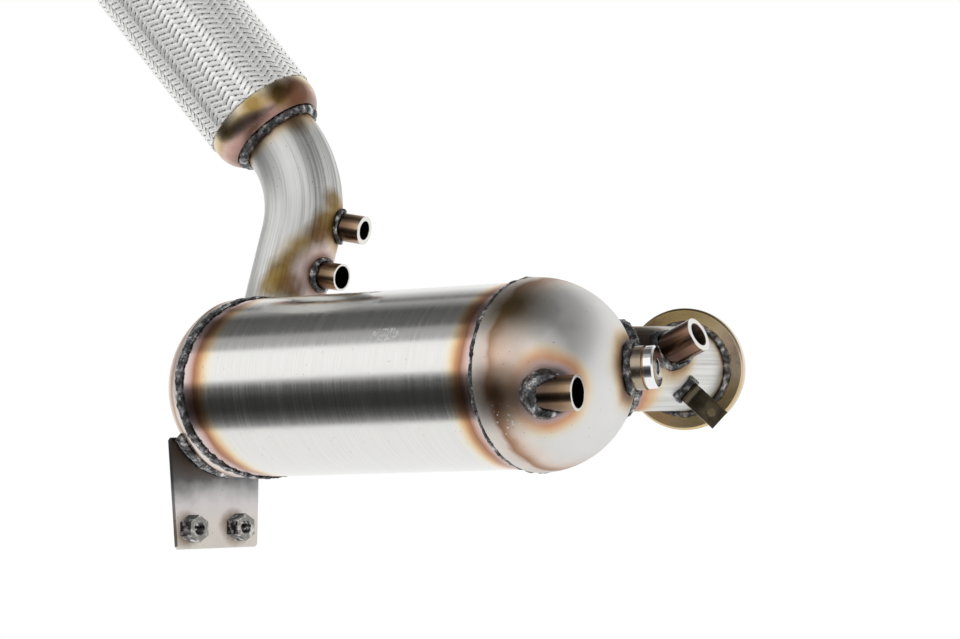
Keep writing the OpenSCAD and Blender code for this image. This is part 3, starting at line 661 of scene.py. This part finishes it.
def bracket_surface():
    """Bracket plate: painted reflection that darkens it towards the weld at its top, clean below, with
    burnt rings round the nuts.
    """
    s = Surface("bracket_steel")
    cloud = s.noise(s.place, 60.0)
    # Painted reflection: the plate darkens towards its top by the weld
    base = s.ramp(s.shifted(s.along(ORIGIN, Z_WAY), cloud, 14.0), BRACKET_PAINTED_REFLECTION)[0]
    for seed, side in enumerate((-1, 1)):
        ring = (BURN_X, side * NUT_SPACING / 2 + BURN_SHIFT, 0.0)
        base = s.stain_and_sheen(base, ring, 7, 15, NUT_BURN, 0.92, 1.3 * seed)
    base = s.specks(base, 150.0, 0.07, 0.7, BRACKET_SPECK)
    s.set(Base_Color=base, Roughness=s.spread(cloud, 0.3, 0.42))
    s.bump(s.noise(s.place, 500.0, 2.0), 0.08, edge=SHARP_EDGE)
    return s


def nut_surface():
    """Weld nut: burnt flanks with bright patches, and a barer end face."""
    s = Surface("nut_steel")
    patch = s.noise(s.place, 260.0, 3.0)
    base = s.ramp(patch, NUT_SCALE)[0]
    face = s.math("GREATER_THAN", s.along(ORIGIN, X_WAY), NUT_FACE_X)
    base = s.blend(s.math("MULTIPLY", face, 0.45), base, NUT_BARE)
    s.set(Base_Color=base, Roughness=s.spread(patch, 0.34, 0.22))
    s.bump(s.noise(s.place, 380.0, 3.0), 0.3, NUT_RELIEF, ROUND_EDGE)
    return s


def flange_surface():
    """Turned flange: straw tint with fine rings, and a painted sheen: dark at the top and pale at one
    side.
    """
    s = Surface("flange_steel")
    radius = s.off_line(INLET_AT, INLET_AXIS)
    rings = s.math("SINE", s.math("MULTIPLY", radius, FULL_TURN / RING_PITCH))
    cloud = s.noise(s.place, 70.0)
    base = s.blend(cloud, *FLANGE_TONES)
    # Painted sheen, laid as patches round the flange
    for stain_and_sheen in FLANGE_PAINTED_SHEEN:
        base = s.stain_and_sheen(base, *stain_and_sheen)
    s.set(Base_Color=base, Roughness=s.spread(cloud, 0.18, 0.28))
    s.bump(rings, 0.1, RING_RELIEF, SHARP_EDGE)
    return s


def tab_surface():
    """Tab: dark scale that clears to tan towards its free end."""
    s = Surface("tab_steel")
    cloud = s.noise(s.place, 90.0)
    end = s.scale_range(s.away(TAB_AT), TAB_CLEAN, TAB_DARK, 1.0, 0.0)
    tan = s.math("MULTIPLY", end, s.scale_range(cloud, 0.35, 0.65, 0.35, 0.9))
    base = s.blend(tan, s.blend(cloud, *TAB_TONES), TAB_TAN)
    s.set(Base_Color=base, Roughness=s.spread(cloud, 0.14, 0.26))
    s.bump(cloud, 0.05, edge=SHARP_EDGE)
    return s


def collar_surface(name, origin, axis):
    """Collar: straw band, then a purple and brown shoulder towards its weld."""
    s = Surface(name)
    cloud = s.noise(s.place, 55.0)
    base = s.ramp(s.shifted(s.along(origin, axis), cloud, 12.0), COLLAR_SCALE)[0]
    for seed, stain_and_sheen in enumerate(COLLAR_STAINS):
        base = s.stain_and_sheen(base, *stain_and_sheen, seed * 1.9, 4.0)
    s.set(Base_Color=base, Roughness=s.spread(cloud, 0.22, 0.34))
    s.bump(cloud, 0.04, edge=ROUND_EDGE)
    return s


def braid_surface():
    """Bright wire with fine lines along each bundle."""
    s = Surface("braid_wire", 0.58)
    wires = s.math("SINE", s.math("MULTIPLY", s.split_uv()[0], FULL_TURN * STRAND_WIRES))
    cloud = s.noise(s.place, 240.0, 2.0)
    s.set(Base_Color=s.blend(cloud, *BRAID_TONES), Roughness=s.spread(cloud, 0.22, 0.32))
    s.bump(wires, 0.25, WIRE_RELIEF)
    return s


def paint(node, surface):
    mesh = NODES[node].data
    mesh.materials.clear()
    mesh.materials.append(surface.material)


def add_mesh(name, points, faces, surface):
    mesh = bpy.data.meshes.new(name)
    mesh.from_pydata([tuple(p) for p in points], [], faces)
    mesh.update()
    mesh.polygons.foreach_set("use_smooth", [True] * len(mesh.polygons))
    piece = bpy.data.objects.new(name, mesh)
    bpy.context.scene.collection.objects.link(piece)
    mesh.materials.append(surface.material)
    return piece


def aim(place, az, el):
    """Frame at a point, with Z turned to a compass direction and a climb."""
    turn = Matrix.Rotation(math.radians(az), 4, "Z") @ Matrix.Rotation(math.radians(90 - el), 4, "Y")
    return Matrix.Translation(place) @ turn


def run_moves(length):
    """Size of a straight run, and the moves along it."""
    steps = max(2, round(length / RUN_STEP))
    return length, [Matrix.Translation((0, 0, length * i / steps)) for i in range(steps + 1)]


def bend_moves(radius, degrees, roll):
    """Length of a bend, and the moves along it."""
    angle = math.radians(degrees)
    turned = Matrix.Rotation(math.radians(roll), 4, "Z")
    steps = round(degrees / BEND_STEP)
    moves = []
    for i in range(steps + 1):
        a = angle * i / steps
        bend = Matrix.Translation((radius * (1 - math.cos(a)), 0, radius * math.sin(a)))
        moves.append(turned @ bend @ Matrix.Rotation(a, 4, "Y") @ turned.inverted())
    return radius * angle, moves


def pipe_frames(start, legs):
    """Frames along a pipe of straight runs (length,) and bends (radius, angle, roll), with distances."""
    frames = []
    here, passed = start.copy(), 0.0
    for leg in legs:
        size, moves = run_moves(*leg) if len(leg) == 1 else bend_moves(*leg)
        steps = len(moves) - 1
        frames += [(here @ move, passed + size * i / steps) for i, move in enumerate(moves[:-1])]
        here = here @ moves[-1]
        passed += size
    frames.append((here, passed))
    return frames


def drill(piece, at, axis, radius, depth):
    """Cuts a round hole back from a port's mouth."""
    bpy.ops.mesh.primitive_cylinder_add(vertices=DRILL_SIDES, radius=radius, depth=depth)
    tool = bpy.context.object
    tool.matrix_world = frame_along(at - axis * depth / 2, axis)
    cut = piece.modifiers.new("drill", "BOOLEAN")
    cut.object = tool
    cut.operation = "DIFFERENCE"
    cut.solver = "EXACT"
    bpy.context.view_layer.update()
    graph = bpy.context.evaluated_depsgraph_get()
    drilled = bpy.data.meshes.new_from_object(piece.evaluated_get(graph))
    piece.modifiers.clear()
    piece.data = drilled
    bpy.data.objects.remove(tool)


def bent_tube(name, node, frames, outer, inner, surface, holes):
    """Thick pipe along a path, drilled where ports lead into it, in place of its solid."""
    points, faces, uvs = [], [], []
    rows = [(m, d, outer) for m, d in frames] + [(m, d, inner) for m, d in reversed(frames)]
    for matrix, _, radius in rows:
        for j in range(TUBE_SIDES):
            a = FULL_TURN * j / TUBE_SIDES
            points.append(matrix @ Vector((radius * math.cos(a), radius * math.sin(a), 0)))
    count = len(rows)
    for i in range(count):
        k = (i + 1) % count
        here, there = i * TUBE_SIDES, k * TUBE_SIDES
        for j in range(TUBE_SIDES):
            n = (j + 1) % TUBE_SIDES
            faces.append((here + j, here + n, there + n, there + j))
            u0, u1 = j / TUBE_SIDES, (j + 1) / TUBE_SIDES
            uvs += [(u0, rows[i][1]), (u1, rows[i][1]), (u1, rows[k][1]), (u0, rows[k][1])]
    piece = add_mesh(name, points, faces, surface)
    layer = piece.data.uv_layers.new(name="path")
    layer.data.foreach_set("uv", np.array(uvs, np.float32).ravel())
    for hole in holes:
        drill(piece, *hole)
    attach(piece, "root")
    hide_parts(node)


def add_outlet_pipe():
    start = aim(CAP, *PIPE_AIM) @ Matrix.Translation((0, 0, PIPE_LEAD - PIPE_LEGS[0][0]))
    frames = pipe_frames(start, PIPE_LEGS)
    ports = [(PORT_AT - PORT_AXIS * PORT_ROOT, PORT_RING, RING_HEAT),
             (BOSS_AT - BOSS_AXIS * BOSS_ROOT, BOSS_RING, WELD_HEAT)]
    ends = [(frames[-1][1] - COLLAR_GRIP, -1, WELD_HEAT), (ROOT_WELD, 1, WELD_HEAT)]
    side = frames[len(frames) // 2][0].to_3x3().inverted() @ SHADED_WAY
    surface = drawn_tube("outlet_pipe_steel", ports, ends, PIPE_STAINS, math.atan2(side.y, side.x))
    holes = [(BOSS_AT, BOSS_AXIS, BOSS_BORE, PORT_DRILL), (PORT_AT, PORT_AXIS, PORT_BORE, PORT_DRILL)]
    bent_tube("outlet_pipe_drawn", "outlet_pipe", frames, PIPE_R, PIPE_BORE, surface, holes)


def add_inlet_elbow():
    start = aim(DOME + ELBOW_RISE, *ELBOW_AIM)
    start = start @ Matrix.Translation((0, 0, ELBOW_LEAD - ELBOW_LEGS[0][0]))
    frames = pipe_frames(start, ELBOW_LEGS)
    ports = [(LAMBDA_AT - LAMBDA_AXIS * LAMBDA_ROOT, LAMBDA_RING, WELD_HEAT)]
    ends = [(frames[-1][1] - FLANGE_GRIP, -1, WELD_HEAT), (ROOT_WELD, 1, PORT_HEAT)]
    surface = drawn_tube("elbow_steel", ports, ends, ELBOW_PAINTED_REFLECTIONS)
    holes = [(LAMBDA_AT, LAMBDA_AXIS, LAMBDA_BORE, LAMBDA_DRILL)]
    bent_tube("inlet_elbow_drawn", "inlet_elbow", frames, ELBOW_R, ELBOW_BORE, surface, holes)


def add_tail_pipe():
    frames = pipe_frames(frame_along(TAIL_AT, -TAIL_AXIS), [(TAIL_LEN,)])
    surface = drawn_tube("tail_steel", [], [(TAIL_WELD_AT, -1, WELD_HEAT)])
    bent_tube("tail_pipe_drawn", "tail_pipe", frames, PIPE_R, PIPE_BORE, surface, [])


def lumpy_weld(node, surface):
    """Copy of a weld with the humps and hollows of a hand-laid bead, in place of its solid."""
    copy = bpy.data.objects.new("remesh_source", NODES[node].data.copy())
    bpy.context.scene.collection.objects.link(copy)
    remesh = copy.modifiers.new("voxels", "REMESH")
    remesh.mode = "VOXEL"
    remesh.voxel_size = BEAD_VOXEL
    graph = bpy.context.evaluated_depsgraph_get()
    mesh = bpy.data.meshes.new_from_object(copy.evaluated_get(graph))
    bpy.data.objects.remove(copy)
    count = len(mesh.vertices)
    co = np.zeros(count * 3, np.float32)
    normals = np.zeros(count * 3, np.float32)
    mesh.vertices.foreach_get("co", co)
    mesh.vertices.foreach_get("normal", normals)
    co = co.reshape(-1, 3)
    normals = normals.reshape(-1, 3)
    lift = np.empty(count, np.float32)
    for i, p in enumerate(co):
        place = Vector(p)
        coarse = noise.noise(place * LUMP_SCALE)
        fine = noise.noise(place * RIPPLE_SCALE)
        lift[i] = BEAD_GROW + BEAD_LUMP * (coarse + RIPPLE_SHARE * fine)
    humped = np.clip(co + normals * lift[:, None], cad_box[0], cad_box[1])
    mesh.vertices.foreach_set("co", humped.astype(np.float32).ravel())
    mesh.materials.clear()
    mesh.materials.append(surface.material)
    mesh.polygons.foreach_set("use_smooth", [True] * len(mesh.polygons))
    mesh.update()
    piece = bpy.data.objects.new(node + "_bead", mesh)
    bpy.context.scene.collection.objects.link(piece)
    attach(piece, "root")
    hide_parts(node)


def strand_points(way, k, length):
    """Points of one ribbon of the braid, in the braid's own frame; way is the sense of its winding."""
    spare = STRAND_W / 2 / length
    z = np.linspace(-spare, 1.0 + spare, STRAND_STEPS) * length
    twist = math.tan(STRAND_LEAN) / BRAID_R
    angle = FULL_TURN * k / STRANDS + way * z * twist
    crossings = 2 * z * twist * STRANDS / FULL_TURN
    phase = 2 * k + way * crossings + WEAVE_START
    wave = np.clip(WEAVE_STEEP * np.cos(FULL_TURN * phase / WEAVE_REPEAT), -1, 1)
    points = []
    for a, height, lift in zip(angle, z, way * wave * WEAVE_LIFT):
        tangent = np.array([-math.sin(a), math.cos(a), 0.0])
        radial = np.array([math.cos(a), math.sin(a), 0.0])
        side = math.cos(STRAND_LEAN) * tangent - way * math.sin(STRAND_LEAN) * np.array([0, 0, 1.0])
        centre = radial * (BRAID_R + lift) + np.array([0, 0, height])
        for across, out in STRAND_SECTION:
            p = centre + side * across * STRAND_W + radial * out * STRAND_T
            p[2] = min(max(p[2], 0.0), length)
            points.append(p)
    return points


def strand_faces(start):
    """Faces of a ribbon, sides then ends, with the place round it and step along it of each side."""
    sides = len(STRAND_SECTION)
    faces, cells = [], []
    for i in range(STRAND_STEPS - 1):
        for j in range(sides):
            a = start + i * sides + j
            b = start + i * sides + (j + 1) % sides
            faces.append((a, b, b + sides, a + sides))
            cells.append((j, i))
    last = start + (STRAND_STEPS - 1) * sides
    faces.append(tuple(start + j for j in reversed(range(sides))))
    faces.append(tuple(last + j for j in range(sides)))
    cells += [None, None]
    return faces, cells


def weave():
    """Braid of separate ribbons, in place of its solid."""
    length = BRAID_HIGH - BRAID_LOW
    matrix = np.array(frame_along(TAIL_AT + TAIL_AXIS * BRAID_LOW, TAIL_AXIS))
    points, faces, cells = [], [], []
    for way in (1, -1):
        for k in range(STRANDS):
            ribbon_faces, ribbon_cells = strand_faces(len(points))
            faces += ribbon_faces
            cells += ribbon_cells
            points += [matrix[:3, :3] @ p + matrix[:3, 3] for p in strand_points(way, k, length)]
    piece = add_mesh("woven_braid", points, faces, braid_surface())
    layer = piece.data.uv_layers.new(name="strand")
    widths = [across + 0.5 for across, _ in STRAND_SECTION]
    uvs = []
    for face, cell in zip(faces, cells):
        if cell is None:
            uvs += [(0, 0)] * len(face)
        else:
            j, i = cell
            u0, u1 = widths[j], widths[(j + 1) % len(widths)]
            uvs += [(u0, i), (u1, i), (u1, i + 1), (u0, i + 1)]
    layer.data.foreach_set("uv", np.array(uvs, np.float32).ravel())
    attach(piece, "root")
    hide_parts("flex_braid")


def dress_ports():
    paint("dome_stub", port_surface("stub_bronze", STUB_AT, STUB_AXIS, STUB_BORE, BRONZE))
    paint("outlet_stub", port_surface("port_bronze", PORT_AT, PORT_AXIS, PORT_BORE, BRONZE))
    paint("outlet_boss", port_surface("boss_bronze", BOSS_AT, BOSS_AXIS, BOSS_BORE, BRONZE))
    copper = port_surface("lambda_copper", LAMBDA_AT, LAMBDA_AXIS, LAMBDA_BORE, COPPER)
    thread_inside(copper, LAMBDA_AT, LAMBDA_AXIS, LAMBDA_BORE)
    paint("lambda_boss", copper)
    paint("sensor_bung", plain_surface("bung_steel", BUNG_TONES, 0.18, 0.3))
    paint("bung_plug", plain_surface("plug_chrome", PLUG_TONES, 0.05, 0.1))
    paint("plug_washer", plain_surface("washer_copper", WASHER_TONES, 0.25, 0.35))


def dress_coupling():
    low = TAIL_AT + TAIL_AXIS * span_along("flex_lower_collar", TAIL_AT, TAIL_AXIS)[0]
    high = TAIL_AT + TAIL_AXIS * span_along("flex_upper_collar", TAIL_AT, TAIL_AXIS)[1]
    paint("flex_lower_collar", collar_surface("collar_low", low, TAIL_AXIS))
    paint("flex_upper_collar", collar_surface("collar_high", high, -TAIL_AXIS))
    # Bellows painted near black, as painted shade under the braid
    paint("flex_bellows", plain_surface("bellows_steel", BELLOWS_PAINTED_SHADE_TONES, 0.3, 0.4))


def dress_bracket():
    """Bracket and nuts, which aren't mirrored in the canister above them."""
    nut = nut_surface()
    for node, surface in (("bracket_plate", bracket_surface()), ("weld_nut_front", nut),
                          ("weld_nut_rear", nut)):
        paint(node, surface)
        NODES[node].visible_glossy = False


def dress_filling():
    """Ceramic bricks and the mats that pack them."""
    for node, tones in (("oxidation_brick", OXIDATION_TONES), ("filter_brick", FILTER_TONES),
                        ("oxidation_mat", MAT_TONES), ("filter_mat", MAT_TONES)):
        paint(node, plain_surface(node + "_fill", tones, 0.8, 0.95, scale=300.0, metallic=0.0, edge=0.0))


def dress():
    paint("canister_shell", shell_surface())
    paint("inlet_dome", dome_surface())
    paint("outlet_dome", cap_surface())
    add_outlet_pipe()
    add_inlet_elbow()
    add_tail_pipe()
    paint("inlet_flange", flange_surface())
    dress_ports()
    paint("support_tab", tab_surface())
    dress_coupling()
    dress_bracket()
    dress_filling()
    metal = weld_surface()
    for node in [n for n in NODES if n.endswith("_weld")]:
        lumpy_weld(node, metal)
    weave()


def add_camera():
    toward = Vector((math.sin(VIEW_AZ) * math.cos(VIEW_EL), -math.cos(VIEW_AZ) * math.cos(VIEW_EL),
                     math.sin(VIEW_EL)))
    level = Vector((math.cos(VIEW_AZ), math.sin(VIEW_AZ), 0))
    upright = toward.cross(level)
    right = level * math.cos(VIEW_ROLL) - upright * math.sin(VIEW_ROLL)
    up = upright * math.cos(VIEW_ROLL) + level * math.sin(VIEW_ROLL)
    metres_per_px = DOME_DEPTH / FOCAL_PX
    place = DOME + toward * DOME_DEPTH
    place -= right * (DOME_PX - IMAGE_W / 2) * metres_per_px
    place += up * (DOME_PY - IMAGE_H / 2) * metres_per_px
    data = bpy.data.cameras.new("camera")
    data.sensor_fit = "HORIZONTAL"
    data.sensor_width = SENSOR_MM
    data.lens = FOCAL_PX / IMAGE_W * SENSOR_MM
    data.clip_end = CLIP_END
    camera = bpy.data.objects.new("camera", data)
    matrix = Matrix((right, up, toward)).transposed().to_4x4()
    matrix.translation = place
    camera.matrix_world = matrix
    bpy.context.scene.collection.objects.link(camera)
    bpy.context.scene.camera = camera


def add_studio():
    """Light all round: bands of brightness in reflections, and plain white for everything else."""
    world = bpy.data.worlds.new("studio")
    bpy.context.scene.world = world
    world.use_nodes = True
    tree = world.node_tree
    tree.nodes.clear()
    coords = tree.nodes.new("ShaderNodeTexCoord")
    split = tree.nodes.new("ShaderNodeSeparateXYZ")
    tree.links.new(coords.outputs["Generated"], split.inputs[0])
    front = tree.nodes.new("ShaderNodeMath")
    front.operation = "MULTIPLY"
    front.inputs[1].default_value = -1
    tree.links.new(split.outputs["Y"], front.inputs[0])
    turn = tree.nodes.new("ShaderNodeMath")
    turn.operation = "ARCTAN2"
    tree.links.new(split.outputs["Z"], turn.inputs[0])
    tree.links.new(front.outputs[0], turn.inputs[1])
    share = tree.nodes.new("ShaderNodeMapRange")
    share.inputs["From Min"].default_value = -math.pi
    share.inputs["From Max"].default_value = math.pi
    tree.links.new(turn.outputs[0], share.inputs["Value"])
    ramp = tree.nodes.new("ShaderNodeValToRGB")
    elements = ramp.color_ramp.elements
    while len(elements) < len(STUDIO):
        elements.new(0.5)
    brightest = max(value for _, value in STUDIO)
    for element, (degrees, value) in zip(elements, STUDIO):
        element.position = (degrees + 180) / 360
        element.color = (value / brightest,) * 3 + (1,)
    tree.links.new(share.outputs["Result"], ramp.inputs["Fac"])
    light = tree.nodes.new("ShaderNodeBackground")
    light.inputs["Strength"].default_value = brightest
    tree.links.new(ramp.outputs["Color"], light.inputs["Color"])
    white = tree.nodes.new("ShaderNodeBackground")
    white.inputs["Color"].default_value = (1, 1, 1, 1)
    path = tree.nodes.new("ShaderNodeLightPath")
    plain = tree.nodes.new("ShaderNodeMath")
    plain.operation = "MAXIMUM"
    tree.links.new(path.outputs["Is Camera Ray"], plain.inputs[0])
    tree.links.new(path.outputs["Is Diffuse Ray"], plain.inputs[1])
    mix = tree.nodes.new("ShaderNodeMixShader")
    tree.links.new(plain.outputs[0], mix.inputs[0])
    tree.links.new(light.outputs[0], mix.inputs[1])
    tree.links.new(white.outputs[0], mix.inputs[2])
    out = tree.nodes.new("ShaderNodeOutputWorld")
    tree.links.new(mix.outputs[0], out.inputs[0])
    bpy.context.scene.view_settings.view_transform = "Standard"


def add_floor():
    bpy.ops.mesh.primitive_circle_add(vertices=FLOOR_SIDES, radius=FLOOR_R, fill_type="NGON",
                                      location=FLOOR_AT)
    floor = bpy.context.object
    floor.name = "floor"
    s = Surface("floor_paper", 0.0)
    s.set(Base_Color=s.blend(s.noise(s.place, 3.0), *FLOOR_TONES), Roughness=0.8)
    floor.data.materials.append(s.material)
    floor.visible_glossy = False


add_camera()
add_studio()
add_floor()
dress()
